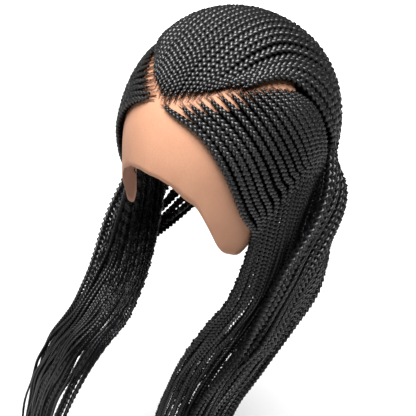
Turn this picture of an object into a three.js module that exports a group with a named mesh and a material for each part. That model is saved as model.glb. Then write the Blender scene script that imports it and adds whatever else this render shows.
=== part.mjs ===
// Braid wig: a fine lace cap that follows the head, three fields of cornrows sewn on it round a V-shaped
// parting, and the long braids that hang on from them, drawn forward over both shoulders.
// Millimetres, +Z up. The origin is where the inside of the cap rests on the top of the head,
// +X is the wearer's left and -Y is the wearer's front.
import * as THREE from 'three';

// Head that the cap follows, measured from its widest level
const headHalfWidth = 77;
const headHalfLength = 98.5;
const crownHeight = 95;
const napeTaper = 150;
const headRoundness = 2.1;
const foreheadNarrowing = 0.12;

// Lace, braids and the clearances between them
const laceWall = 1.2;
const seatClearance = 1.2;
const lockClearance = 0.9;
const wigLength = 560;
const sideRows = 15;
const centreRows = 11;
const sideBraid = { root: 3.4, crown: 5.7, release: 5.4, shoulder: 4.6, tip: 2.6 };
const centreBraid = { root: 3.8, crown: 5.9, release: 9, shoulder: 6, tip: 3.2 };
const braidFlatness = 0.85;
const ribHollow = 0.45;
const layerStep = 10;
const bundleBow = 7;
const tipStagger = 38;
// Each braid's share of the stagger is this far on from its neighbour's
const staggerTurn = 0.618;

// Bearings run in degrees from the front towards the ear, heights in degrees above the widest level
const laceEdge = [
  { bearing: 0, height: 2 },
  { bearing: 12, height: 1 },
  { bearing: 22, height: -3 },
  { bearing: 30, height: -6 },
  { bearing: 38, height: -15 },
  { bearing: 44, height: -24 },
  { bearing: 52, height: -29 },
  { bearing: 60, height: -30 },
  { bearing: 67, height: -23 },
  { bearing: 78, height: -11 },
  { bearing: 92, height: -7 },
  { bearing: 112, height: -8 },
  { bearing: 130, height: -18 },
  { bearing: 150, height: -25 },
  { bearing: 180, height: -26 },
];

// Guide rows of a side field, from the hairline (share 0) to the last row behind the ear (share 1),
// each from the parting down to where it leaves the lace
const sideGuides = [
  { share: 0, bearings: [7, 27.6, 42.5, 54.6, 63.8], heights: [33, 25, 8, -9, -20] },
  { share: 0.07, bearings: [13, 31.2, 45, 56.6, 65.7], heights: [35, 26.5, 12, -5.5, -17.5] },
  { share: 0.15, bearings: [19, 35, 48, 59, 68], heights: [37, 29, 16, -2, -15] },
  { share: 0.45, bearings: [42, 57, 69, 76, 81], heights: [44.2, 31, 14, 2, -5] },
  { share: 0.72, bearings: [61, 74, 84, 90, 94], heights: [45.1, 34, 19, 7, -3] },
  { share: 1, bearings: [82, 93.5, 100.5, 104, 105.5], heights: [40.8, 29, 15, 4, -4] },
];

// Bearing at which the hairline row of each side starts: the parting's point lies a little to the right
const hairlineStart = { left: 2, right: 12 };

// Guide rows of half the centre field, from the middle (share 0) to the row beside the side field (share 1),
// each from the parting over the crown to where it starts to hang
const centreGuides = [
  { share: 0, bearings: [1.8, 3.4, 40, 175, 177, 176.5], heights: [37, 60, 87, 64, 24, -20] },
  { share: 0.55, bearings: [22, 34, 58, 100, 128, 140], heights: [43.5, 53, 63, 62, 36, -8] },
  { share: 0.85, bearings: [36, 56, 81, 99.5, 112, 120], heights: [47.3, 52, 52, 44, 26, 0] },
  { share: 1, bearings: [47, 64, 83.5, 96.2, 105, 112], heights: [46.7, 50, 47, 34, 18.5, 2] },
];

// Where the braids hang free: out and back are shares of the head's half width and half length,
// down is a share of the wig's length
const earLevel = {
  left: { inner: { out: 0.86, back: -0.59, down: 0.362 }, outer: { out: 1, back: 0.16, down: 0.35 } },
  right: { inner: { out: 1, back: -0.42, down: 0.354 }, outer: { out: 0.93, back: 0.12, down: 0.355 } },
};
const nape = {
  left: [
    {
      share: 0,
      upper: { out: 0.62, back: 0.99, down: 0.335 },
      lower: { out: 1.2, back: 0.62, down: 0.405 },
    },
    {
      share: 0.5,
      upper: { out: 1.15, back: 0.74, down: 0.27 },
      lower: { out: 1.25, back: 0.32, down: 0.36 },
    },
    {
      share: 1,
      upper: { out: 1.2, back: 0.22, down: 0.235 },
      lower: { out: 1.14, back: -0.22, down: 0.345 },
    },
  ],
  right: [
    {
      share: 0,
      upper: { out: 0.42, back: 1.02, down: 0.335 },
      lower: { out: 0.88, back: 0.68, down: 0.425 },
    },
    {
      share: 0.5,
      upper: { out: 1.07, back: 0.78, down: 0.27 },
      lower: { out: 1.38, back: 0.46, down: 0.37 },
    },
    {
      share: 1,
      upper: { out: 1.2, back: 0.26, down: 0.24 },
      lower: { out: 1.4, back: -0.04, down: 0.35 },
    },
  ],
};
const bundleLevels = {
  left: [
    { inner: { out: 0.78, back: -0.76, down: 0.42 }, outer: { out: 1.16, back: 0.2, down: 0.49 } },
    { inner: { out: 0.63, back: -0.93, down: 0.49 }, outer: { out: 1.04, back: -0.1, down: 0.56 } },
    { inner: { out: 0.51, back: -1.05, down: 0.59 }, outer: { out: 1, back: -0.52, down: 0.63 } },
    { inner: { out: 0.36, back: -1.14, down: 0.77 }, outer: { out: 1, back: -0.66, down: 0.8 } },
    { inner: { out: 0.28, back: -1.17, down: 0.98 }, outer: { out: 0.95, back: -0.74, down: 1 } },
  ],
  right: [
    { inner: { out: 0.8, back: -0.16, down: 0.462 }, outer: { out: 1.22, back: -0.54, down: 0.45 } },
    { inner: { out: 0.5, back: -0.62, down: 0.5 }, outer: { out: 1.31, back: -0.8, down: 0.535 } },
    { inner: { out: 0.5, back: -1, down: 0.545 }, outer: { out: 1.66, back: -0.94, down: 0.65 } },
    { inner: { out: 0.86, back: -1.22, down: 0.73 }, outer: { out: 2.06, back: -0.9, down: 0.8 } },
    { inner: { out: 1.15, back: -1.28, down: 0.96 }, outer: { out: 2.1, back: -1.04, down: 0.93 } },
  ],
};
// Where a field's first and last row lie across the bundle, as shares of its width from the inner edge
const sideSpread = { left: { first: 0, last: 0.66 }, right: { first: 0.86, last: 0 } };
const centreSpread = { left: { first: 1, last: 0.36 }, right: { first: 0.36, last: 1 } };

// Share of layerStep by which the centre rows lie off the bundle's middle, to its face; the side rows lie
// as far to its back
const centreLift = { left: 0.5, right: -0.62 };

// Stations along the faceted solids
const capColumns = 44;
const capRings = 8;
const sideStations = 10;
const centreStations = 21;
const lockStations = 10;
// Guide stations where a braid has its crown thickness, and its shoulder thickness counted up from its tip
const crownStation = 1;
const shoulderFromTip = 3;

const sides = { left: 1, right: -1 };
const headCentre = new THREE.Vector3(0, 0, -crownHeight);
const seatingPasses = 4;

// The head's surface: 1 on it, less inside it
function headLevel(point) {
  const halfWidth = headHalfWidth * (1 + foreheadNarrowing * point.y / headHalfLength);
  const reach = point.z > headCentre.z ? crownHeight : napeTaper;
  const plan = Math.hypot(point.x / halfWidth, point.y / headHalfLength);
  const rise = Math.abs(point.z - headCentre.z) / reach;
  return (plan ** headRoundness + rise ** headRoundness) ** (1 / headRoundness);
}

function headNormal(point) {
  const step = 0.01;
  const slope = (axis) => {
    const ahead = point.clone();
    const behind = point.clone();
    ahead[axis] += step;
    behind[axis] -= step;
    return headLevel(ahead) - headLevel(behind);
  };
  return new THREE.Vector3(slope('x'), slope('y'), slope('z')).normalize();
}

// A point moved along its ray from the head's centre onto the head, then lifted off it
function onHead(point, lift) {
  const seated = point.clone();
  for (let pass = 0; pass < seatingPasses; pass += 1) {
    const level = headLevel(seated);
    seated.sub(headCentre).divideScalar(level).add(headCentre);
  }
  return seated.addScaledVector(headNormal(seated), lift);
}

function headPoint(bearing, height, lift) {
  const turn = THREE.MathUtils.degToRad(bearing);
  const tilt = THREE.MathUtils.degToRad(height);
  const plan = Math.cos(tilt) ** (2 / headRoundness);
  const rise = Math.abs(Math.sin(tilt)) ** (2 / headRoundness);
  const point = new THREE.Vector3(
    headHalfWidth * plan * Math.sin(turn),
    -headHalfLength * plan * Math.cos(turn),
    headCentre.z + (height > 0 ? crownHeight : -napeTaper) * rise,
  );
  return onHead(point, lift);
}

// Smooth run through points, at place 0 for the first, 1 for the second and so on
function runThrough(points, place) {
  const last = points.length - 1;
  const index = Math.min(Math.max(Math.floor(place), 0), last - 1);
  const share = place - index;
  const at = (k) => {
    if (k < 0) return points[0].clone().multiplyScalar(2).sub(points[1]);
    if (k > last) return points[last].clone().multiplyScalar(2).sub(points[last - 1]);
    return points[k];
  };
  const [a, b, c, d] = [at(index - 1), at(index), at(index + 1), at(index + 2)];
  const blend = (p, q, r, s) => 0.5 * (2 * q + (r - p) * share + (2 * p - 5 * q + 4 * r - s) * share ** 2
    + (3 * q - p - 3 * r + s) * share ** 3);
  return new THREE.Vector3(blend(a.x, b.x, c.x, d.x), blend(a.y, b.y, c.y, d.y), blend(a.z, b.z, c.z, d.z));
}

// Place of a share among guides that each name theirs
function placeAmong(guides, share) {
  let index = 0;
  while (index < guides.length - 2 && share > guides[index + 1].share) index += 1;
  const [low, high] = [guides[index].share, guides[index + 1].share];
  return index + (share - low) / (high - low);
}

function hangPoint(side, { out, back, down }) {
  return new THREE.Vector3(sides[side] * out * headHalfWidth, back * headHalfLength, -down * wigLength);
}

// A point of a bundle's cross-section: share from its inner to its outer edge, lift out of its face
function bundlePoint(side, level, share, lift) {
  const inner = hangPoint(side, level.inner);
  const outer = hangPoint(side, level.outer);
  const across = outer.clone().sub(inner);
  const face = new THREE.Vector3(across.y, -across.x, 0).normalize().multiplyScalar(sides[side]);
  const bow = bundleBow * Math.sin(Math.PI * share);
  return inner.addScaledVector(across, share).addScaledVector(face, lift + bow);
}

// The points that a row passes through from the top of its bundle to its tip
function bundleRun(side, share, lift) {
  return bundleLevels[side].map((level) => bundlePoint(side, level, share, lift));
}

// The points that a row of the side or centre field passes through on the lace, from its root
function rowRun(side, guides, share) {
  const place = placeAmong(guides, share);
  return guides[0].bearings.map((_, station) => {
    const across = guides.map((guide) => headPoint(guide.bearings[station], guide.heights[station], 0));
    const point = runThrough(across, place);
    point.x *= sides[side];
    return point;
  });
}

function sideRun(side, share) {
  const ear = earLevel[side];
  const [hairline, ...others] = sideGuides;
  const moved = { ...hairline, bearings: [hairlineStart[side], ...hairline.bearings.slice(1)] };
  const run = rowRun(side, [moved, ...others], share);
  run.push(bundlePoint(side, ear, share, 0));
  const spread = THREE.MathUtils.lerp(sideSpread[side].first, sideSpread[side].last, share);
  run.push(...bundleRun(side, spread, -layerStep * centreLift[side]));
  return { points: run, seated: sideGuides[0].bearings.length - 1, braid: sideBraid };
}

function centreRun(side, share) {
  const guides = nape[side];
  const place = placeAmong(guides, share);
  const run = rowRun(side, centreGuides, share);
  run.push(runThrough(guides.map((guide) => hangPoint(side, guide.upper)), place));
  run.push(runThrough(guides.map((guide) => hangPoint(side, guide.lower)), place));
  const spread = THREE.MathUtils.lerp(centreSpread[side].first, centreSpread[side].last, share);
  run.push(...bundleRun(side, spread, layerStep * centreLift[side]));
  return { points: run, seated: centreGuides[0].bearings.length - 1, braid: centreBraid };
}

// Half the braid's thickness at a place along its run
function halfThickness(run, place) {
  const { root, crown, release, shoulder, tip } = run.braid;
  const last = run.points.length - 1;
  const stops = [
    [0, root],
    [crownStation, crown],
    [run.seated, release],
    [last - shoulderFromTip, shoulder],
    [last, tip],
  ];
  let index = 0;
  while (index < stops.length - 2 && place > stops[index + 1][0]) index += 1;
  const [[from, wide], [to, narrow]] = [stops[index], stops[index + 1]];
  const share = THREE.MathUtils.clamp((place - from) / (to - from), 0, 1);
  return THREE.MathUtils.lerp(wide, narrow, share) * braidFlatness / 2;
}

function braidPoint(run, place) {
  const point = runThrough(run.points, place);
  if (place > run.seated) {
    const lift = laceWall + seatClearance + halfThickness(run, run.seated);
    const fade = Math.max(0, 1 - (place - run.seated));
    return point.addScaledVector(headNormal(point), lift * fade);
  }
  return onHead(point, laceWall + seatClearance + halfThickness(run, place));
}

// Share of the stagger by which a braid stops short of the longest
function shortfall(index) {
  return (index * staggerTurn) % 1;
}

// Places of a field's stations, from its roots to where its rows leave the lace
function seatedPlaces(runs, count) {
  return runs.map((run) => Array.from({ length: count }, (_, i) => run.seated * i / (count - 1)));
}

// Places of the stations of the braids that hang on from a field, each braid with its own length
function hangingPlaces(runs, count) {
  return runs.map((run, index) => {
    const last = run.points.length - 1;
    const lowest = run.points[last - 1].distanceTo(run.points[last]);
    const end = last - shortfall(index) * tipStagger / lowest;
    return Array.from({ length: count }, (_, i) => run.seated + (end - run.seated) * i / (count - 1));
  });
}

// A closed solid from a stack of rings; each ring is the points of its outer face, then of its inner face
function ringSolid(rings) {
  const size = rings[0].outer.length;
  const points = rings.flatMap((ring) => [...ring.outer, ...ring.inner]);
  const triangles = [];
  const quad = (a, b, c, d) => triangles.push(a, b, c, a, c, d);
  const outer = (ring, k) => ring * 2 * size + k;
  const inner = (ring, k) => ring * 2 * size + size + k;
  for (let ring = 0; ring < rings.length - 1; ring += 1) {
    for (let k = 0; k < size - 1; k += 1) {
      quad(outer(ring, k), outer(ring, k + 1), outer(ring + 1, k + 1), outer(ring + 1, k));
      quad(inner(ring, k + 1), inner(ring, k), inner(ring + 1, k), inner(ring + 1, k + 1));
    }
    quad(inner(ring, 0), outer(ring, 0), outer(ring + 1, 0), inner(ring + 1, 0));
    quad(outer(ring, size - 1), inner(ring, size - 1), inner(ring + 1, size - 1), outer(ring + 1, size - 1));
  }
  const last = rings.length - 1;
  for (let k = 0; k < size - 1; k += 1) {
    quad(outer(0, k + 1), outer(0, k), inner(0, k), inner(0, k + 1));
    quad(outer(last, k), outer(last, k + 1), inner(last, k + 1), inner(last, k));
  }
  return closedGeometry(points, triangles);
}

// Faces are turned to point outwards
function closedGeometry(points, triangles) {
  let volume = 0;
  for (let k = 0; k < triangles.length; k += 3) {
    const [a, b, c] = [points[triangles[k]], points[triangles[k + 1]], points[triangles[k + 2]]];
    volume += a.dot(b.clone().cross(c));
  }
  const faces = volume < 0 ? triangles.slice().reverse() : triangles;
  const geometry = new THREE.BufferGeometry();
  geometry.setAttribute('position', new THREE.Float32BufferAttribute(points.flatMap((p) => p.toArray()), 3));
  geometry.setIndex(faces);
  geometry.computeVertexNormals();
  return geometry;
}

// Centre, half thickness and heading of each braid at one station of a sheet
function crossSection(runs, places, station) {
  const step = 0.02;
  return runs.map((run, k) => {
    const place = places[k][station];
    const heading = braidPoint(run, place + step).sub(braidPoint(run, place - step)).normalize();
    return { centre: braidPoint(run, place), half: halfThickness(run, place), heading };
  });
}

// The crests of a section's braids, the hollows between them and a rim at either side, each with its share
// of the braid's thickness
function ribs(section) {
  const last = section.length - 1;
  const centreOf = (k) => section[THREE.MathUtils.clamp(k, 0, last)].centre;
  const across = (k) => centreOf(k + 1).clone().sub(centreOf(k - 1));
  const rim = (k, way) => {
    const { centre, half, heading } = section[k];
    const sideways = across(k).addScaledVector(heading, -across(k).dot(heading)).normalize();
    const edge = centre.clone().addScaledVector(sideways, way * half / braidFlatness);
    return { ...section[k], centre: edge, fill: ribHollow };
  };
  const points = [rim(0, -1)];
  section.forEach((braid, k) => {
    points.push({ ...braid, fill: 1 });
    if (k === last) return;
    const next = section[k + 1];
    points.push({
      centre: braid.centre.clone().add(next.centre).multiplyScalar(0.5),
      half: (braid.half + next.half) / 2,
      heading: braid.heading.clone().add(next.heading).normalize(),
      fill: ribHollow,
    });
  });
  points.push(rim(last, 1));
  return points;
}

// Ribs on the lace: outer face and smooth inner face
function seatedFaces(points) {
  const seat = laceWall + seatClearance;
  return {
    outer: points.map(({ centre, half, fill }) => onHead(centre, seat + half * (1 + fill))),
    inner: points.map(({ centre }) => onHead(centre, seat)),
  };
}

// The way that each rib of a hanging section faces; the section keeps the side that the one above it has
function hangingNormals(points, above) {
  const last = points.length - 1;
  const normals = points.map(({ heading }, k) => {
    const across = points[Math.min(k + 1, last)].centre.clone().sub(points[Math.max(k - 1, 0)].centre);
    return across.cross(heading).normalize();
  });
  const agreement = normals.reduce((sum, normal, k) => sum + normal.dot(above[k]), 0);
  return agreement < 0 ? normals.map((normal) => normal.negate()) : normals;
}

// Ribs hanging free, with both faces ribbed
function hangingFaces(points, normals) {
  const face = (way) => points.map(
    ({ centre, half, fill }, k) => centre.clone().addScaledVector(normals[k], way * fill * half),
  );
  return { outer: face(1), inner: face(-1) };
}

// Braids sewn on the lace side by side, as one solid
function cornrowSheet(runs, count) {
  const places = seatedPlaces(runs, count);
  return ringSolid(places[0].map((_, station) => seatedFaces(ribs(crossSection(runs, places, station)))));
}

// Braids hanging side by side, as one solid that starts a clearance past the end of the sewn ones
function lockSheet(runs, count) {
  const places = hangingPlaces(runs, count);
  const [top, ...sections] = places[0].map((_, station) => ribs(crossSection(runs, places, station)));
  const seated = seatedFaces(top);
  const shift = (face) => face.map((point, k) => point.addScaledVector(top[k].heading, lockClearance));
  const rings = [{ outer: shift(seated.outer), inner: shift(seated.inner) }];
  let normals = top.map(({ centre }) => headNormal(centre));
  sections.forEach((points) => {
    normals = hangingNormals(points, normals);
    rings.push(hangingFaces(points, normals));
  });
  return ringSolid(rings);
}

// Height of the lace's edge at a bearing, either side of the front
function laceEdgeHeight(bearing) {
  const turn = Math.abs(bearing);
  let index = 0;
  while (index < laceEdge.length - 2 && turn > laceEdge[index + 1].bearing) index += 1;
  const [from, to] = [laceEdge[index], laceEdge[index + 1]];
  return THREE.MathUtils.mapLinear(turn, from.bearing, to.bearing, from.height, to.height);
}

function laceCap() {
  const points = [];
  const triangles = [];
  const faces = [0, laceWall];
  faces.forEach((lift) => {
    for (let ring = 0; ring < capRings; ring += 1) {
      for (let column = 0; column < capColumns; column += 1) {
        const bearing = -180 + 360 * column / capColumns;
        const edge = laceEdgeHeight(bearing);
        points.push(headPoint(bearing, edge + (90 - edge) * ring / capRings, lift));
      }
    }
    points.push(headPoint(0, 90, lift));
  });
  const perFace = capRings * capColumns + 1;
  const at = (face, ring, column) => face * perFace + ring * capColumns + column % capColumns;
  const crown = (face) => face * perFace + perFace - 1;
  for (let column = 0; column < capColumns; column += 1) {
    const next = column + 1;
    for (let ring = 0; ring < capRings - 1; ring += 1) {
      const corners = (face) => [
        at(face, ring, column),
        at(face, ring, next),
        at(face, ring + 1, next),
        at(face, ring + 1, column),
      ];
      const [a, b, c, d] = corners(1);
      triangles.push(a, b, c, a, c, d);
      const [e, f, g, h] = corners(0);
      triangles.push(f, e, h, f, h, g);
    }
    triangles.push(at(1, capRings - 1, column), at(1, capRings - 1, next), crown(1));
    triangles.push(at(0, capRings - 1, next), at(0, capRings - 1, column), crown(0));
    const [a, b, c, d] = [at(0, 0, column), at(0, 0, next), at(1, 0, next), at(1, 0, column)];
    triangles.push(a, b, c, a, c, d);
  }
  return closedGeometry(points, triangles);
}

const lace = new THREE.MeshStandardMaterial({ color: 0xe6bd9c, roughness: 0.85, metalness: 0 });
const hair = new THREE.MeshStandardMaterial({ color: 0x1b1b1d, roughness: 0.5, metalness: 0 });

const wig = new THREE.Group();
function addPiece(name, geometry, material) {
  const piece = new THREE.Mesh(geometry, material);
  piece.name = name;
  wig.add(piece);
}

const evenShares = (count) => Array.from({ length: count }, (_, k) => k / (count - 1));

addPiece('lace_cap', laceCap(), lace);

const centreRuns = {
  left: evenShares(centreRows).map((share) => centreRun('left', share)),
  right: evenShares(centreRows).map((share) => centreRun('right', share)),
};
const centreField = [...centreRuns.right.slice().reverse(), ...centreRuns.left];
addPiece('centre_cornrows', cornrowSheet(centreField, centreStations), hair);

Object.keys(sides).forEach((side) => {
  const sideRuns = evenShares(sideRows).map((share) => sideRun(side, share));
  addPiece(`${side}_cornrows`, cornrowSheet(sideRuns, sideStations), hair);
  addPiece(`${side}_front_locks`, lockSheet(sideRuns, lockStations), hair);
  const backRuns = centreRuns[side];
  addPiece(`${side}_back_locks`, lockSheet(backRuns, lockStations), hair);
});

export default wig;
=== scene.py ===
"""Braid wig: the looks of a lace-front wig of cornrows and long braids, laid along the CAD solids.

Every length below is in millimetres in the wig's own frame and is turned into metres as meshes are made.
+X is the wearer's left, -Y the wearer's front, +Z up, and the origin is the inside top of the cap.
"""
import math

import bpy
import numpy as np
from mathutils import Matrix


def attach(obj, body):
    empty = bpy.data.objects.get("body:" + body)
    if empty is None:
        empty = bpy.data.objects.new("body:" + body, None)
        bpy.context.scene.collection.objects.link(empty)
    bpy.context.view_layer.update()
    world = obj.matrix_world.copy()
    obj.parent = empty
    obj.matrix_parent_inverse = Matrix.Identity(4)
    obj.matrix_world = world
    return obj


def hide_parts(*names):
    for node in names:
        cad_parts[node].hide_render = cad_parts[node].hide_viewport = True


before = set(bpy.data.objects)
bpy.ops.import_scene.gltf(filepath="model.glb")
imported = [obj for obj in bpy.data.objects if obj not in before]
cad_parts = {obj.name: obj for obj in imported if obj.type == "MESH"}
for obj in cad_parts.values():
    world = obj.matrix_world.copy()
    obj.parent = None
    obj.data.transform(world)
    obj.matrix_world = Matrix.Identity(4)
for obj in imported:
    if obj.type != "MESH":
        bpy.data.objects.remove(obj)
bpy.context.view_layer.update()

MM = 0.001

# Head that the cap follows
HEAD_HALF_WIDTH = 77.0
HEAD_HALF_LENGTH = 98.5
CROWN_HEIGHT = 95.0
NAPE_TAPER = 150.0
HEAD_ROUNDNESS = 2.1
FOREHEAD_NARROWING = 0.12
HEAD_CENTRE = np.array([0.0, 0.0, -CROWN_HEIGHT])

# Lace, braids and their clearances
LACE_WALL = 1.2
SEAT_CLEARANCE = 1.2
WIG_LENGTH = 560.0
SIDE_ROWS = 15
CENTRE_ROWS = 11
SIDE_BRAID = {"root": 3.4, "crown": 5.7, "release": 5.4, "shoulder": 4.6, "tip": 2.6}
CENTRE_BRAID = {"root": 3.8, "crown": 5.9, "release": 9.0, "shoulder": 6.0, "tip": 3.2}
BRAID_FLATNESS = 0.85
LAYER_STEP = 10.0
BUNDLE_BOW = 7.0
TIP_STAGGER = 38.0
STAGGER_TURN = 0.618
CROWN_STATION = 1
SHOULDER_FROM_TIP = 3

# Bearing in degrees from the front towards the ear, height in degrees above the widest level
LACE_EDGE = [
    (0, 2), (12, 1), (22, -3), (30, -6), (38, -15), (44, -24), (52, -29), (60, -30),
    (67, -23), (78, -11), (92, -7), (112, -8), (130, -18), (150, -25), (180, -26),
]

# Guide rows: share of the field, bearings and heights from the parting to where the row leaves the lace
SIDE_GUIDES = [
    (0.0, (7, 27.6, 42.5, 54.6, 63.8), (33, 25, 8, -9, -20)),
    (0.07, (13, 31.2, 45, 56.6, 65.7), (35, 26.5, 12, -5.5, -17.5)),
    (0.15, (19, 35, 48, 59, 68), (37, 29, 16, -2, -15)),
    (0.45, (42, 57, 69, 76, 81), (44.2, 31, 14, 2, -5)),
    (0.72, (61, 74, 84, 90, 94), (45.1, 34, 19, 7, -3)),
    (1.0, (82, 93.5, 100.5, 104, 105.5), (40.8, 29, 15, 4, -4)),
]
HAIRLINE_START = {"left": 2, "right": 12}
CENTRE_GUIDES = [
    (0.0, (1.8, 3.4, 40, 175, 177, 176.5), (37, 60, 87, 64, 24, -20)),
    (0.55, (22, 34, 58, 100, 128, 140), (43.5, 53, 63, 62, 36, -8)),
    (0.85, (36, 56, 81, 99.5, 112, 120), (47.3, 52, 52, 44, 26, 0)),
    (1.0, (47, 64, 83.5, 96.2, 105, 112), (46.7, 50, 47, 34, 18.5, 2)),
]

# Where the braids hang free: (out, back, down) as shares of half width, half length and wig length,
# for the inner and the outer edge of each bundle
EAR_LEVEL = {
    "left": ((0.86, -0.59, 0.362), (1.0, 0.16, 0.35)),
    "right": ((1.0, -0.42, 0.354), (0.93, 0.12, 0.355)),
}
NAPE = {
    "left": [
        (0.0, (0.62, 0.99, 0.335), (1.2, 0.62, 0.405)),
        (0.5, (1.15, 0.74, 0.27), (1.25, 0.32, 0.36)),
        (1.0, (1.2, 0.22, 0.235), (1.14, -0.22, 0.345)),
    ],
    "right": [
        (0.0, (0.42, 1.02, 0.335), (0.88, 0.68, 0.425)),
        (0.5, (1.07, 0.78, 0.27), (1.38, 0.46, 0.37)),
        (1.0, (1.2, 0.26, 0.24), (1.4, -0.04, 0.35)),
    ],
}
BUNDLE_LEVELS = {
    "left": [
        ((0.78, -0.76, 0.42), (1.16, 0.2, 0.49)),
        ((0.63, -0.93, 0.49), (1.04, -0.1, 0.56)),
        ((0.51, -1.05, 0.59), (1.0, -0.52, 0.63)),
        ((0.36, -1.14, 0.77), (1.0, -0.66, 0.8)),
        ((0.28, -1.17, 0.98), (0.95, -0.74, 1.0)),
    ],
    "right": [
        ((0.8, -0.16, 0.462), (1.22, -0.54, 0.45)),
        ((0.5, -0.62, 0.5), (1.31, -0.8, 0.535)),
        ((0.5, -1.0, 0.545), (1.66, -0.94, 0.65)),
        ((0.86, -1.22, 0.73), (2.06, -0.9, 0.8)),
        ((1.15, -1.28, 0.96), (2.1, -1.04, 0.93)),
    ],
}
# Where a field's first and last row lie across the bundle, as shares of its width from the inner edge
SIDE_SPREAD = {"left": (0.0, 0.66), "right": (0.86, 0.0)}
CENTRE_SPREAD = {"left": (1.0, 0.36), "right": (0.36, 1.0)}
# Share of LAYER_STEP by which the centre rows lie off the bundle's middle, to its face
CENTRE_LIFT = {"left": 0.5, "right": -0.62}
SIDES = {"left": 1.0, "right": -1.0}

# Plait: pitch and strand sizes as shares of the braid's width
SEWN_PITCH = 2.5
HANGING_PITCH = 2.3
STRAND_SWING = 0.27
STRAND_RISE = 0.3
STRAND_HALF_WIDTH = 0.27
STRAND_HALF_THICKNESS = 0.25
STRAND_PLUMPNESS = 0.12
HANGING_FILL = 0.96
PATH_SAMPLES = 700
# A strand's size at its root as a share of the full size, and the millimetres over which it fills out
ROOT_SHARE = 0.5
ROOT_TAPER = 9.0
TIP_TAPER = 14.0
TIP_POWER = 0.6
# Millimetres that the centre rows stand further off the lace where they start to hang, and the stations
# over which they rise to it
RELEASE_BULGE = 4.0
BULGE_STATIONS = 1.8

# Drift of the hanging braids: amplitude and wave in mm, and the length over which it sets in
DRIFT_ONSET = 120.0
SIDEWAYS_DRIFT = (1.1, 190)
OUTWARD_DRIFT = (1.6, 140)
TWIST_DRIFT = (math.radians(35), 150)
DRIFT_STEPS = (1.0, 0.55)
LOOSE_GAIN = 1.6
LOOSE_SHARE = 0.6

# Shine: range of a braid's tone, and how the crest of a strand rises out of the dark; this gloss paints
# sheen on the crests and shade where the strands dive under
TONE_RANGE = (0.75, 1.1)
CREST_BASE = 0.1
STRAND_FIBRE_SHIFT = 50

# Hairs combed from the parting into each row, with lengths in mm
ROOT_HAIR_COUNT = 22
ROOT_HAIR_SPREAD = 2.8
ROOT_HAIR_BACK = (3.0, 6.5)
ROOT_HAIR_REACH = (4, 12)
ROOT_HAIR_SPLAY = (0.4, 1.5)
ROOT_HAIR_THICKNESS = (0.05, 0.1)
ROOT_HAIR_SIDES = 3
ROOT_HAIR_SHADE = 0.3
ROOT_HAIR_SEAT = 0.1
ROOT_HAIR_LIFT = 1.6

# Samples a turn and sides of the strands, and the darker braids that fill the bundles
SEWN_DETAIL = (11, 6)
HANGING_DETAIL = (6, 5)
FILL_DETAIL = (4, 3)
FILL_DEPTH = 3.2
FILL_SCALE = 1.1
FILL_START = 0.5
FILL_FIRST_NUMBER = 40
FILL_ROW_DETAIL = (5, 4)
FILL_ROW_STATIONS = 9
FILL_ROW_SHORTENING = 0.3
FILL_ROW_DEPTH = 1.0
FILL_ROWS = 4

# Sheets of dark hair below the sewn rows, partly real hair and knots and partly painted shade: lift off the
# lace in mm and stations along the rows
SHEET_LIFT = 0.5
SIDE_SHEET_STATIONS = 40
JOIN_SHEET_STATIONS = 30
CENTRE_SHEET_STATIONS = 60
SIDE_SHEET_STARTS = [0.9, 0.7] + [0.5] * (SIDE_ROWS - 2)
JOIN_SHEET_STARTS = [0.35, 2.3]
CENTRE_SHEET_STARTS = [0.35] * 2 * CENTRE_ROWS

# Lace mesh: grid, lift of its faces off the wall's foot, and the ripple at its edge, in mm
LACE_RINGS = 64
LACE_COLUMNS = 180
LACE_TOP = 89.5
LACE_CROWDING = 0.9
LACE_OUTER = LACE_WALL - 0.2
LACE_INNER = LACE_WALL - 0.6
RIPPLE_HEIGHT = 0.5
RIPPLE_COUNT = 31
RIPPLE_TURN = 1.3
RIPPLE_FADE = 14
EDGE_SMOOTHING = (-3, -1.5, 1.5, 3)


# Head surface

def head_level(points):
    """1 on the head, less inside it."""
    half_width = HEAD_HALF_WIDTH * (1 + FOREHEAD_NARROWING * points[..., 1] / HEAD_HALF_LENGTH)
    reach = np.where(points[..., 2] > HEAD_CENTRE[2], CROWN_HEIGHT, NAPE_TAPER)
    plan = np.hypot(points[..., 0] / half_width, points[..., 1] / HEAD_HALF_LENGTH)
    rise = np.abs(points[..., 2] - HEAD_CENTRE[2]) / reach
    return (plan ** HEAD_ROUNDNESS + rise ** HEAD_ROUNDNESS) ** (1 / HEAD_ROUNDNESS)


def unit(vectors):
    return vectors / np.linalg.norm(vectors, axis=-1, keepdims=True)


def head_normal(points):
    """Unit normals of the head's level surfaces, by small steps along each axis."""
    step = 0.01
    slopes = []
    for axis in range(3):
        offset = np.zeros(3)
        offset[axis] = step
        slopes.append(head_level(points + offset) - head_level(points - offset))
    return unit(np.stack(slopes, -1))


def on_head(points, lift):
    """Points moved along their rays from the head's centre onto the head, then lifted off it."""
    seated = np.array(points, float)
    for _ in range(4):
        seated = HEAD_CENTRE + (seated - HEAD_CENTRE) / head_level(seated)[..., None]
    return seated + head_normal(seated) * np.asarray(lift)[..., None]


def head_point(bearing, height, lift):
    turn = np.radians(bearing)
    tilt = np.radians(height)
    plan = np.cos(tilt) ** (2 / HEAD_ROUNDNESS)
    rise = np.abs(np.sin(tilt)) ** (2 / HEAD_ROUNDNESS)
    reach = np.where(np.asarray(height) > 0, CROWN_HEIGHT, -NAPE_TAPER)
    point = np.stack([
        HEAD_HALF_WIDTH * plan * np.sin(turn),
        -HEAD_HALF_LENGTH * plan * np.cos(turn),
        HEAD_CENTRE[2] + reach * rise,
    ], -1)
    return on_head(point, np.broadcast_to(lift, point.shape[:-1]))


# Runs of the braids

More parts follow.
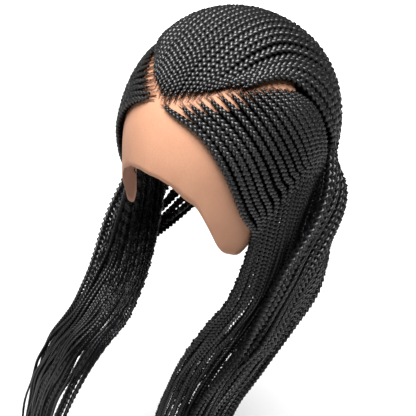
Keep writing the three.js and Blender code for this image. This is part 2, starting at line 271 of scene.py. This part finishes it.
def run_through(points, places):
    """Smooth run through points, at place 0 for the first, 1 for the second and so on."""
    points = np.asarray(points, float)
    last = len(points) - 1
    padded = np.vstack([2 * points[0] - points[1], points, 2 * points[last] - points[last - 1]])
    places = np.asarray(places, float)
    index = np.clip(np.floor(places).astype(int), 0, last - 1)
    share = (places - index)[..., None]
    a, b, c, d = (padded[index + k] for k in range(4))
    return 0.5 * (2 * b + (c - a) * share + (2 * a - 5 * b + 4 * c - d) * share ** 2
                  + (3 * b - a - 3 * c + d) * share ** 3)


def place_among(shares, share):
    index = 0
    while index < len(shares) - 2 and share > shares[index + 1]:
        index += 1
    return index + (share - shares[index]) / (shares[index + 1] - shares[index])


def hang_point(side, spot):
    out, back, down = spot
    return np.array([SIDES[side] * out * HEAD_HALF_WIDTH, back * HEAD_HALF_LENGTH, -down * WIG_LENGTH])


def bundle_point(side, level, share, lift):
    inner = hang_point(side, level[0])
    across = hang_point(side, level[1]) - inner
    face = SIDES[side] * unit(np.array([across[1], -across[0], 0.0]))
    bow = BUNDLE_BOW * math.sin(math.pi * min(max(share, 0.0), 1.0))
    return inner + across * share + face * (lift + bow)


def row_run(side, guides, share):
    place = place_among([guide[0] for guide in guides], share)
    run = []
    for station in range(len(guides[0][1])):
        across = [head_point(guide[1][station], guide[2][station], 0.0) for guide in guides]
        point = run_through(across, place)
        run.append(point * np.array([SIDES[side], 1, 1]))
    return run


class Row:
    """One braid from its root on the parting to its tip."""

    def __init__(self, side, share, number, field):
        self.side = side
        self.share = share
        self.number = number
        self.field = field
        if field == "side":
            hairline = (0.0, (HAIRLINE_START[side],) + SIDE_GUIDES[0][1][1:], SIDE_GUIDES[0][2])
            points = row_run(side, [hairline] + SIDE_GUIDES[1:], share)
            self.seated = len(points) - 1
            points.append(bundle_point(side, EAR_LEVEL[side], share, 0.0))
            layer = SIDE_SPREAD[side]
            lift = -LAYER_STEP * CENTRE_LIFT[side]
            self.braid = SIDE_BRAID
        else:
            points = row_run(side, CENTRE_GUIDES, share)
            self.seated = len(points) - 1
            place = place_among([guide[0] for guide in NAPE[side]], share)
            for level in (1, 2):
                points.append(run_through([hang_point(side, guide[level]) for guide in NAPE[side]], place))
            layer = CENTRE_SPREAD[side]
            lift = LAYER_STEP * CENTRE_LIFT[side]
            self.braid = CENTRE_BRAID
        spread = layer[0] + (layer[1] - layer[0]) * share
        for level in BUNDLE_LEVELS[side]:
            points.append(bundle_point(side, level, spread, lift))
        self.points = np.array(points)
        last = len(points) - 1
        lowest = np.linalg.norm(self.points[last] - self.points[last - 1])
        self.end = last - ((number * STAGGER_TURN) % 1) * TIP_STAGGER / lowest

    def width(self, places):
        last = len(self.points) - 1
        braid = self.braid
        stops = [0, CROWN_STATION, self.seated, last - SHOULDER_FROM_TIP, last]
        widths = [braid["root"], braid["crown"], braid["release"], braid["shoulder"], braid["tip"]]
        return np.interp(places, stops, widths)

    def line(self, places):
        """Centre line of the braid lying on the lace, then hanging."""
        places = np.asarray(places, float)
        points = run_through(self.points, places)
        half = self.width(places) * BRAID_FLATNESS / 2
        seat = LACE_WALL + SEAT_CLEARANCE
        bulge = RELEASE_BULGE * (1 - self.share ** 2) if self.field == "centre" else 0.0
        risen = np.clip((places - self.seated) / BULGE_STATIONS + 1, 0, 1)
        sewn = on_head(points, seat + half + bulge * risen)
        release = float(self.width(self.seated)) * BRAID_FLATNESS / 2
        fade = np.clip(1 - (places - self.seated), 0, 1)[..., None]
        hanging = points + head_normal(points) * (seat + release + bulge) * fade
        return np.where((places > self.seated)[..., None], hanging, sewn)


class FillRow(Row):
    """A hanging braid that fills the way between two neighbours, from where they leave the lace."""

    def __init__(self, first, second, share, number):
        super().__init__(second.side, second.share, number, second.field)
        steps = np.linspace(0, 1, FILL_ROW_STATIONS)
        runs = []
        for row in (first, second):
            runs.append(run_through(row.points, row.seated + steps * (row.end - row.seated)))
        self.points = runs[0] * (1 - share) + runs[1] * share
        self.seated = 0
        self.end = FILL_ROW_STATIONS - 1 - share * FILL_ROW_SHORTENING

    def width(self, places):
        return np.interp(places, [0, FILL_ROW_STATIONS - 1], [SIDE_BRAID["release"], SIDE_BRAID["tip"]])


def rows_of(field, side):
    count = SIDE_ROWS if field == "side" else CENTRE_ROWS
    return [Row(side, k / (count - 1), k, field) for k in range(count)]


# Meshes

class MeshParts:
    """Vertices, quads, UVs and a gloss value gathered from many strands into one mesh; on the plaits and
    the dark sheets this gloss paints sheen and shade.
    """

    def __init__(self):
        self.points = []
        self.quads = []
        self.uvs = []
        self.gloss_and_painted_shades = []
        self.count = 0

    def add_grid(self, grid, uv, gloss_and_painted_shade, close_around):
        """A grid of points, rings by columns, as quads; closed round its columns if asked."""
        rings, columns = grid.shape[:2]
        index = np.arange(rings * columns).reshape(rings, columns) + self.count
        ahead = np.roll(index, -1, axis=1) if close_around else index[:, 1:]
        here = index if close_around else index[:, :-1]
        quads = np.stack([here[:-1], ahead[:-1], ahead[1:], here[1:]], -1).reshape(-1, 4)
        self.points.append(grid.reshape(-1, 3))
        self.quads.append(quads)
        self.uvs.append(uv.reshape(-1, 2))
        self.gloss_and_painted_shades.append(np.broadcast_to(gloss_and_painted_shade, (rings, columns)).reshape(-1))
        self.count += rings * columns

    def build(self, name, material):
        points = np.concatenate(self.points) * MM
        quads = np.concatenate(self.quads).astype(np.int32)
        uvs = np.concatenate(self.uvs)
        gloss_and_painted_shades = np.concatenate(self.gloss_and_painted_shades)
        mesh = bpy.data.meshes.new(name)
        mesh.vertices.add(len(points))
        mesh.vertices.foreach_set("co", points.astype(np.float32).ravel())
        mesh.loops.add(quads.size)
        mesh.loops.foreach_set("vertex_index", quads.ravel())
        mesh.polygons.add(len(quads))
        mesh.polygons.foreach_set("loop_start", np.arange(0, quads.size, 4, dtype=np.int32))
        mesh.polygons.foreach_set("use_smooth", np.ones(len(quads), bool))
        layer = mesh.uv_layers.new(name="fibre")
        layer.uv.foreach_set("vector", uvs[quads.ravel()].astype(np.float32).ravel())
        attribute = mesh.attributes.new("gloss_and_painted_shade", "FLOAT", "POINT")
        attribute.data.foreach_set("value", gloss_and_painted_shades.astype(np.float32))
        mesh.update(calc_edges=True)
        mesh.validate()
        mesh.materials.append(material)
        piece = bpy.data.objects.new(name, mesh)
        bpy.context.scene.collection.objects.link(piece)
        return piece


def tube(parts, line, normal, half_width, half_thickness, sides, gloss_and_painted_shade, v_start):
    """A closed-section tube along a line, flattened towards normal."""
    heading = unit(np.gradient(line, axis=0))
    sideways = unit(np.cross(heading, normal))
    upward = np.cross(sideways, heading)
    angles = np.arange(sides) * 2 * math.pi / sides
    ring = (np.cos(angles)[None, :, None] * sideways[:, None] * half_width[:, None, None]
            + np.sin(angles)[None, :, None] * upward[:, None] * half_thickness[:, None, None])
    grid = line[:, None] + ring
    length = np.concatenate([[0], np.cumsum(np.linalg.norm(np.diff(line, axis=0), axis=1))]) + v_start
    uv = np.stack(np.broadcast_arrays(np.arange(sides)[None, :] / sides, length[:, None] / 10), -1)
    parts.add_grid(grid, uv, gloss_and_painted_shade, True)


def carried_normals(line, heading, first):
    """Normals carried along a line without twisting, from the first one."""
    normals = [unit(first - heading[0] * np.dot(first, heading[0]))]
    for k in range(1, len(line)):
        turned = normals[-1] - heading[k] * np.dot(normals[-1], heading[k])
        normals.append(turned / np.linalg.norm(turned))
    return np.array(normals)


def wander(rng, length, amplitude, wave):
    """Slow sideways drift along a braid, none at its start."""
    drift = np.zeros_like(length)
    for step in DRIFT_STEPS:
        phase = rng.uniform(0, 2 * math.pi)
        drift += step * (np.sin(length * 2 * math.pi / (wave * step) + phase) - math.sin(phase))
    return drift * amplitude / sum(DRIFT_STEPS)


def plait(row, spans, rng, spread=1.0, depth=0.0, from_place=0.0, scale=1.0):
    """The three strands of a row; spans names the mesh parts, samples a turn and sides of its sewn length
    and of its hanging length, and a span without parts is left out."""
    fine = np.linspace(from_place, row.end, PATH_SAMPLES)
    line = row.line(fine)
    on_lace = fine <= row.seated
    steps = np.linalg.norm(np.diff(line, axis=0), axis=1)
    length = np.concatenate([[0], np.cumsum(steps)])
    heading = unit(np.gradient(line, length, axis=0))
    seat_length = np.interp(row.seated, fine, length)

    normal = head_normal(line)
    normal = unit(normal - heading * np.sum(normal * heading, 1, keepdims=True))
    first = int(np.count_nonzero(on_lace)) - 1
    normal[first:] = carried_normals(line[first:], heading[first:], normal[first])
    across = np.cross(heading, normal)

    free = np.clip((length - seat_length) / DRIFT_ONSET, 0, 1)
    hang = np.clip(length - seat_length, 0, None)
    sideways, sideways_wave = SIDEWAYS_DRIFT
    line = line + across * (wander(rng, hang, sideways * spread, sideways_wave) * free)[:, None]
    line = line + normal * (wander(rng, hang, *OUTWARD_DRIFT) * free - depth)[:, None]
    twist = wander(rng, hang, *TWIST_DRIFT) * free
    turned = normal * np.cos(twist)[:, None] + across * np.sin(twist)[:, None]
    heading = unit(np.gradient(line, axis=0))
    normal = unit(turned - heading * np.sum(turned * heading, 1, keepdims=True))

    width = row.width(fine) * scale * np.where(on_lace, 1.0, HANGING_FILL)
    pitch = np.where(on_lace, SEWN_PITCH, HANGING_PITCH) * width
    phase = np.concatenate([[0], np.cumsum(np.diff(length) * 2 * math.pi / ((pitch[1:] + pitch[:-1]) / 2))])
    phase_at_seat = float(np.interp(row.seated, fine, phase))
    offset = rng.uniform(0, 2 * math.pi)
    tone = rng.uniform(*TONE_RANGE)

    stretches = ((0.0, phase_at_seat), (phase_at_seat, phase[-1]))
    for (parts, samples, sides), (low, high) in zip(spans, stretches):
        if parts is None:
            continue
        turn = np.linspace(low, high, max(4, round((high - low) / (2 * math.pi) * samples)) + 1)
        centre, up, along = (
            np.stack([np.interp(turn, phase, values[:, k]) for k in range(3)], -1)
            for values in (line, normal, heading)
        )
        up = unit(up)
        out = np.cross(unit(along), up)
        wide = np.interp(turn, phase, width)
        here = np.interp(turn, phase, length)
        ease = np.clip((length[-1] - here) / TIP_TAPER, 0.05, 1) ** TIP_POWER
        ease *= ROOT_SHARE + (1 - ROOT_SHARE) * np.clip(here / ROOT_TAPER, 0, 1)
        for strand in range(3):
            angle = turn + offset + strand * 2 * math.pi / 3
            swing = STRAND_SWING * wide * np.sin(angle) * ease
            rise = STRAND_RISE * wide * np.sin(2 * angle) * ease
            middle = centre + out * swing[:, None] + up * rise[:, None]
            plump = (1 - STRAND_PLUMPNESS * np.cos(2 * angle)) * ease
            # Gloss is high on the strand's crest and near nothing where it dives under its neighbours,
            # scaled by the braid's tone: painted sheen and painted shade
            painted_crest_sheen = np.clip(CREST_BASE + np.sin(2 * angle), 0, 1) * tone
            tube(parts, middle, up, STRAND_HALF_WIDTH * wide * plump, STRAND_HALF_THICKNESS * wide * plump,
                 sides, painted_crest_sheen[:, None], rng.uniform(0, STRAND_FIBRE_SHIFT))


def root_hairs(parts, row, rng):
    """Fine hairs combed from the parting into a row's root."""
    place = np.linspace(0, 0.8, 9)
    line = row.line(place)
    run = np.concatenate([[0], np.cumsum(np.linalg.norm(np.diff(line, axis=0), axis=1))])
    root, ahead = line[0], unit(line[1] - line[0])
    up = head_normal(root)
    side = np.cross(ahead, up)
    for _ in range(ROOT_HAIR_COUNT):
        sideways = rng.uniform(-1, 1) * ROOT_HAIR_SPREAD
        start = root - ahead * rng.uniform(*ROOT_HAIR_BACK) + side * sideways
        reach = rng.uniform(*ROOT_HAIR_REACH)
        end = np.array([np.interp(reach, run, line[:, k]) for k in range(3)])
        end = end + side * np.sign(sideways) * rng.uniform(*ROOT_HAIR_SPLAY)
        share = np.linspace(0, 1, 7)[:, None]
        middle = (start + end) / 2 - side * sideways * 0.2
        curve = start * (1 - share) ** 2 + middle * 2 * share * (1 - share) + end * share ** 2
        curve = on_head(curve, LACE_WALL + ROOT_HAIR_SEAT + ROOT_HAIR_LIFT * share[:, 0] ** 1.5)
        fullness = 0.3 + 0.7 * np.sin(np.pi * (0.15 + 0.6 * share[:, 0]))
        thin = rng.uniform(*ROOT_HAIR_THICKNESS) * fullness
        shift = rng.uniform(0, STRAND_FIBRE_SHIFT)
        tube(parts, curve, up, thin, thin, ROOT_HAIR_SIDES, ROOT_HAIR_SHADE, shift)


def under_sheet(parts, rows, first_places, stations):
    """Dark hair between and below the sewn rows, so that no lace shows through where they touch; partly the
    real dark hair and knots there, partly painted shade with no gloss.
    """
    places = [np.linspace(first, row.seated, stations) for row, first in zip(rows, first_places)]
    lines = np.stack([run_through(row.points, place) for row, place in zip(rows, places)], 1)
    grid = on_head(lines, np.full(lines.shape[:2], LACE_WALL + SHEET_LIFT))
    across = np.arange(len(rows))[None, :] / 3
    along = np.arange(stations)[:, None] * 1.0
    uv = np.stack(np.broadcast_arrays(across, along), -1)
    # Lowest gloss on the sheet: painted shade
    parts.add_grid(grid, uv, 0.0, False)


# Materials

def hair_material(name, dark, light):
    material = bpy.data.materials.new(name)
    material.use_nodes = True
    nodes = material.node_tree.nodes
    links = material.node_tree.links
    shader = nodes["Principled BSDF"]
    uv = nodes.new("ShaderNodeUVMap")
    uv.uv_map = "fibre"
    stretch = nodes.new("ShaderNodeMapping")
    stretch.inputs["Scale"].default_value = (14.0, 0.5, 1.0)
    links.new(uv.outputs["UV"], stretch.inputs["Vector"])
    fibres = nodes.new("ShaderNodeTexNoise")
    fibres.inputs["Scale"].default_value = 2.0
    fibres.inputs["Detail"].default_value = 3.0
    links.new(stretch.outputs["Vector"], fibres.inputs["Vector"])
    tone = nodes.new("ShaderNodeMapRange")
    tone.inputs["From Min"].default_value = 0.25
    tone.inputs["From Max"].default_value = 0.75
    links.new(fibres.outputs["Fac"], tone.inputs["Value"])
    colour = nodes.new("ShaderNodeMix")
    colour.data_type = "RGBA"
    colour.inputs["A"].default_value = dark
    colour.inputs["B"].default_value = light
    links.new(tone.outputs["Result"], colour.inputs["Factor"])
    links.new(colour.outputs["Result"], shader.inputs["Base Color"])
    rough = nodes.new("ShaderNodeMapRange")
    rough.inputs["To Min"].default_value = 0.34
    rough.inputs["To Max"].default_value = 0.52
    links.new(fibres.outputs["Fac"], rough.inputs["Value"])
    links.new(rough.outputs["Result"], shader.inputs["Roughness"])
    bump = nodes.new("ShaderNodeBump")
    bump.inputs["Strength"].default_value = 0.35
    bump.inputs["Distance"].default_value = 0.0002
    links.new(fibres.outputs["Fac"], bump.inputs["Height"])
    links.new(bump.outputs["Normal"], shader.inputs["Normal"])
    # Specular level from the per-vertex gloss: painted sheen on strand crests, painted shade where strands
    # dive under and on the dark sheets below the rows
    painted_crest_sheen = nodes.new("ShaderNodeAttribute")
    painted_crest_sheen.attribute_name = "gloss_and_painted_shade"
    gloss = nodes.new("ShaderNodeMapRange")
    gloss.inputs["To Min"].default_value = 0.02
    gloss.inputs["To Max"].default_value = 1.0
    links.new(painted_crest_sheen.outputs["Fac"], gloss.inputs["Value"])
    links.new(gloss.outputs["Result"], shader.inputs["Specular IOR Level"])
    return material


def lace_material():
    material = bpy.data.materials.new("fine_lace")
    material.use_nodes = True
    nodes = material.node_tree.nodes
    links = material.node_tree.links
    shader = nodes["Principled BSDF"]
    place = nodes.new("ShaderNodeTexCoord")
    net = nodes.new("ShaderNodeTexVoronoi")
    net.feature = "DISTANCE_TO_EDGE"
    net.inputs["Scale"].default_value = 1500.0
    links.new(place.outputs["Object"], net.inputs["Vector"])
    holes = nodes.new("ShaderNodeMapRange")
    holes.inputs["From Min"].default_value = 0.05
    holes.inputs["From Max"].default_value = 0.2
    links.new(net.outputs["Distance"], holes.inputs["Value"])
    patches = nodes.new("ShaderNodeTexNoise")
    patches.inputs["Scale"].default_value = 45.0
    patches.inputs["Detail"].default_value = 3.0
    links.new(place.outputs["Object"], patches.inputs["Vector"])
    tint = nodes.new("ShaderNodeMix")
    tint.data_type = "RGBA"
    tint.inputs["A"].default_value = (0.54, 0.265, 0.16, 1)
    tint.inputs["B"].default_value = (0.63, 0.34, 0.215, 1)
    links.new(patches.outputs["Fac"], tint.inputs["Factor"])
    thread = nodes.new("ShaderNodeMix")
    thread.data_type = "RGBA"
    thread.blend_type = "MULTIPLY"
    thread.inputs["B"].default_value = (0.86, 0.82, 0.8, 1)
    links.new(holes.outputs["Result"], thread.inputs["Factor"])
    links.new(tint.outputs["Result"], thread.inputs["A"])
    links.new(thread.outputs["Result"], shader.inputs["Base Color"])
    bump = nodes.new("ShaderNodeBump")
    bump.inputs["Strength"].default_value = 0.3
    bump.inputs["Distance"].default_value = 0.0002
    bump.invert = True
    links.new(holes.outputs["Result"], bump.inputs["Height"])
    links.new(bump.outputs["Normal"], shader.inputs["Normal"])
    shader.inputs["Roughness"].default_value = 0.65
    shader.inputs["Specular IOR Level"].default_value = 0.3
    return material


def floor_material():
    material = bpy.data.materials.new("floor")
    material.use_nodes = True
    shader = material.node_tree.nodes["Principled BSDF"]
    shader.inputs["Base Color"].default_value = (0.9, 0.9, 0.9, 1)
    shader.inputs["Roughness"].default_value = 0.9
    shader.inputs["Specular IOR Level"].default_value = 0.1
    return material


# Lace cap

def lace_edge_height(bearings):
    turn = np.abs(bearings)
    table = np.array(LACE_EDGE, float)
    fine = np.interp(turn, table[:, 0], table[:, 1])
    soft = 0
    for shift in EDGE_SMOOTHING:
        soft = soft + np.interp(np.clip(turn + shift, 0, 180), table[:, 0], table[:, 1])
    return (fine + soft) / (len(EDGE_SMOOTHING) + 1)


def lace_cap(material):
    bearings = -180 + 360 * np.arange(LACE_COLUMNS) / LACE_COLUMNS
    edge = lace_edge_height(bearings)
    parts = MeshParts()
    shares = np.linspace(0, 1, LACE_RINGS + 1) ** LACE_CROWDING
    heights = edge[None, :] + (LACE_TOP - edge[None, :]) * shares[:, None]
    turns = np.broadcast_to(bearings, heights.shape)
    wave = np.sin(np.radians(turns) * RIPPLE_COUNT + RIPPLE_TURN)
    ripple = RIPPLE_HEIGHT * wave * np.clip(1 - shares * RIPPLE_FADE, 0, 1)[:, None]
    outer = head_point(turns, heights, LACE_OUTER + ripple)
    inner = head_point(turns, heights, LACE_INNER + ripple)
    grid = np.concatenate([inner[::-1], outer])
    uv = np.zeros(grid.shape[:2] + (2,))
    parts.add_grid(grid, uv, 0.0, True)
    return parts.build("lace", material)


# Scene

rng = np.random.default_rng(52)
hair = hair_material("braid_hair", (0.0015, 0.0015, 0.0018, 1), (0.007, 0.007, 0.008, 1))
fine_hair = hair_material("root_hair", (0.05, 0.018, 0.01, 1), (0.14, 0.06, 0.035, 1))
lace_cloth = lace_material()

lace = lace_cap(lace_cloth)
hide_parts("lace_cap")
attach(lace, "root")

centre_parts = MeshParts()
root_parts = MeshParts()
centre_rows = {}
for side in SIDES:
    side_parts = MeshParts()
    front_parts = MeshParts()
    back_parts = MeshParts()
    side_rows = rows_of("side", side)
    centre_rows[side] = rows_of("centre", side)
    for row in side_rows:
        plait(row, ((side_parts, *SEWN_DETAIL), (front_parts, *HANGING_DETAIL)), rng)
        root_hairs(root_parts, row, rng)
    for row in centre_rows[side]:
        loose = 1 + LOOSE_GAIN * max(0.0, LOOSE_SHARE - row.share) if side == "right" else 1.0
        plait(row, ((centre_parts, *SEWN_DETAIL), (back_parts, *HANGING_DETAIL)), rng, loose)
        root_hairs(root_parts, row, rng)
    for field, rows, parts in (("side", SIDE_ROWS, front_parts), ("centre", CENTRE_ROWS, back_parts)):
        for k in range(rows - 1):
            row = Row(side, (k + 0.5) / (rows - 1), k + FILL_FIRST_NUMBER, field)
            spans = ((None, 0, 0), (parts, *FILL_DETAIL))
            plait(row, spans, rng, 1.0, FILL_DEPTH, row.seated - FILL_START, FILL_SCALE)
    for k in range(1, FILL_ROWS + 1):
        row = FillRow(side_rows[-1], centre_rows[side][-1], k / (FILL_ROWS + 1), k)
        plait(row, ((None, 0, 0), (back_parts, *FILL_ROW_DETAIL)), rng, 1.0, FILL_ROW_DEPTH)
    # Dark sheets below the side rows and across their join with the centre rows: partly real hair, partly
    # painted shade
    under_sheet(side_parts, side_rows, SIDE_SHEET_STARTS, SIDE_SHEET_STATIONS)
    joined = [side_rows[-1], centre_rows[side][-1]]
    under_sheet(side_parts, joined, JOIN_SHEET_STARTS, JOIN_SHEET_STATIONS)
    for name, parts, node in (
        (f"{side}_sewn_rows", side_parts, f"{side}_cornrows"),
        (f"{side}_front_braids", front_parts, f"{side}_front_locks"),
        (f"{side}_back_braids", back_parts, f"{side}_back_locks"),
    ):
        piece = parts.build(name, hair)
        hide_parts(node)
        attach(piece, "root")
all_centre_rows = centre_rows["right"][::-1] + centre_rows["left"]
# Dark sheet below the centre rows: partly real hair, partly painted shade
under_sheet(centre_parts, all_centre_rows, CENTRE_SHEET_STARTS, CENTRE_SHEET_STATIONS)
centre_piece = centre_parts.build("centre_sewn_rows", hair)
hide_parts("centre_cornrows")
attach(centre_piece, "root")
root_piece = root_parts.build("root_hairs", fine_hair)
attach(root_piece, "root")

# Floor
FLOOR_LEVEL = -760.0
FLOOR_SIZE = 12
bpy.ops.mesh.primitive_plane_add(size=FLOOR_SIZE, location=(0, 0, FLOOR_LEVEL * MM))
floor = bpy.context.object
floor.name = "floor"
floor.data.materials.append(floor_material())

# Light
world = bpy.data.worlds.new("studio")
world.use_nodes = True
world.node_tree.nodes["Background"].inputs["Color"].default_value = (1, 1, 1, 1)
world.node_tree.nodes["Background"].inputs["Strength"].default_value = 0.06
bpy.context.scene.world = world


def softbox(name, place, target, size, power):
    light = bpy.data.lights.new(name, "AREA")
    light.shape = "SQUARE"
    light.size = size
    light.energy = power
    lamp = bpy.data.objects.new(name, light)
    back = unit(np.array(place, float) - np.array(target, float))
    right = unit(np.cross([0, 0, 1], back))
    up = np.cross(back, right)
    rotation = Matrix([right, up, back]).transposed().to_4x4()
    lamp.matrix_world = Matrix.Translation(place) @ rotation
    bpy.context.scene.collection.objects.link(lamp)
    return lamp


softbox("key", (0.15, -0.55, 1.5), (0, 0, -0.15), 0.9, 78)
softbox("fill", (-1.4, -1.2, 0.5), (0, 0, -0.2), 1.2, 3)
softbox("backdrop", (-1.3, 2.1, 1.8), (-2.2, 3.8, -0.76), 1.6, 220)

# Camera at the photograph's angle
CAMERA_TURN = 33.0
CAMERA_RISE = 35.0
CAMERA_ROLL = 7.0
CAMERA_DISTANCE = 536.5
CAMERA_SHIFT = (-22.9, -141.0)
CAMERA_LENS = 60.6
turn, rise, roll = (math.radians(a) for a in (CAMERA_TURN, CAMERA_RISE, CAMERA_ROLL))
back = np.array([math.sin(turn) * math.cos(rise), -math.cos(turn) * math.cos(rise), math.sin(rise)])
level_right = np.array([math.cos(turn), math.sin(turn), 0.0])
level_up = np.cross(back, level_right)
right = level_right * math.cos(roll) + level_up * math.sin(roll)
up = -level_right * math.sin(roll) + level_up * math.cos(roll)
place = right * CAMERA_SHIFT[0] + up * CAMERA_SHIFT[1] + back * CAMERA_DISTANCE
lens = bpy.data.cameras.new("camera")
lens.lens = CAMERA_LENS
lens.sensor_width = 36.0
lens.clip_start = 0.01
lens.clip_end = 50.0
camera = bpy.data.objects.new("camera", lens)
camera.matrix_world = Matrix.Translation(place * MM) @ Matrix([right, up, back]).transposed().to_4x4()
bpy.context.scene.collection.objects.link(camera)
bpy.context.scene.camera = camera
bpy.context.scene.view_settings.view_transform = "Standard"
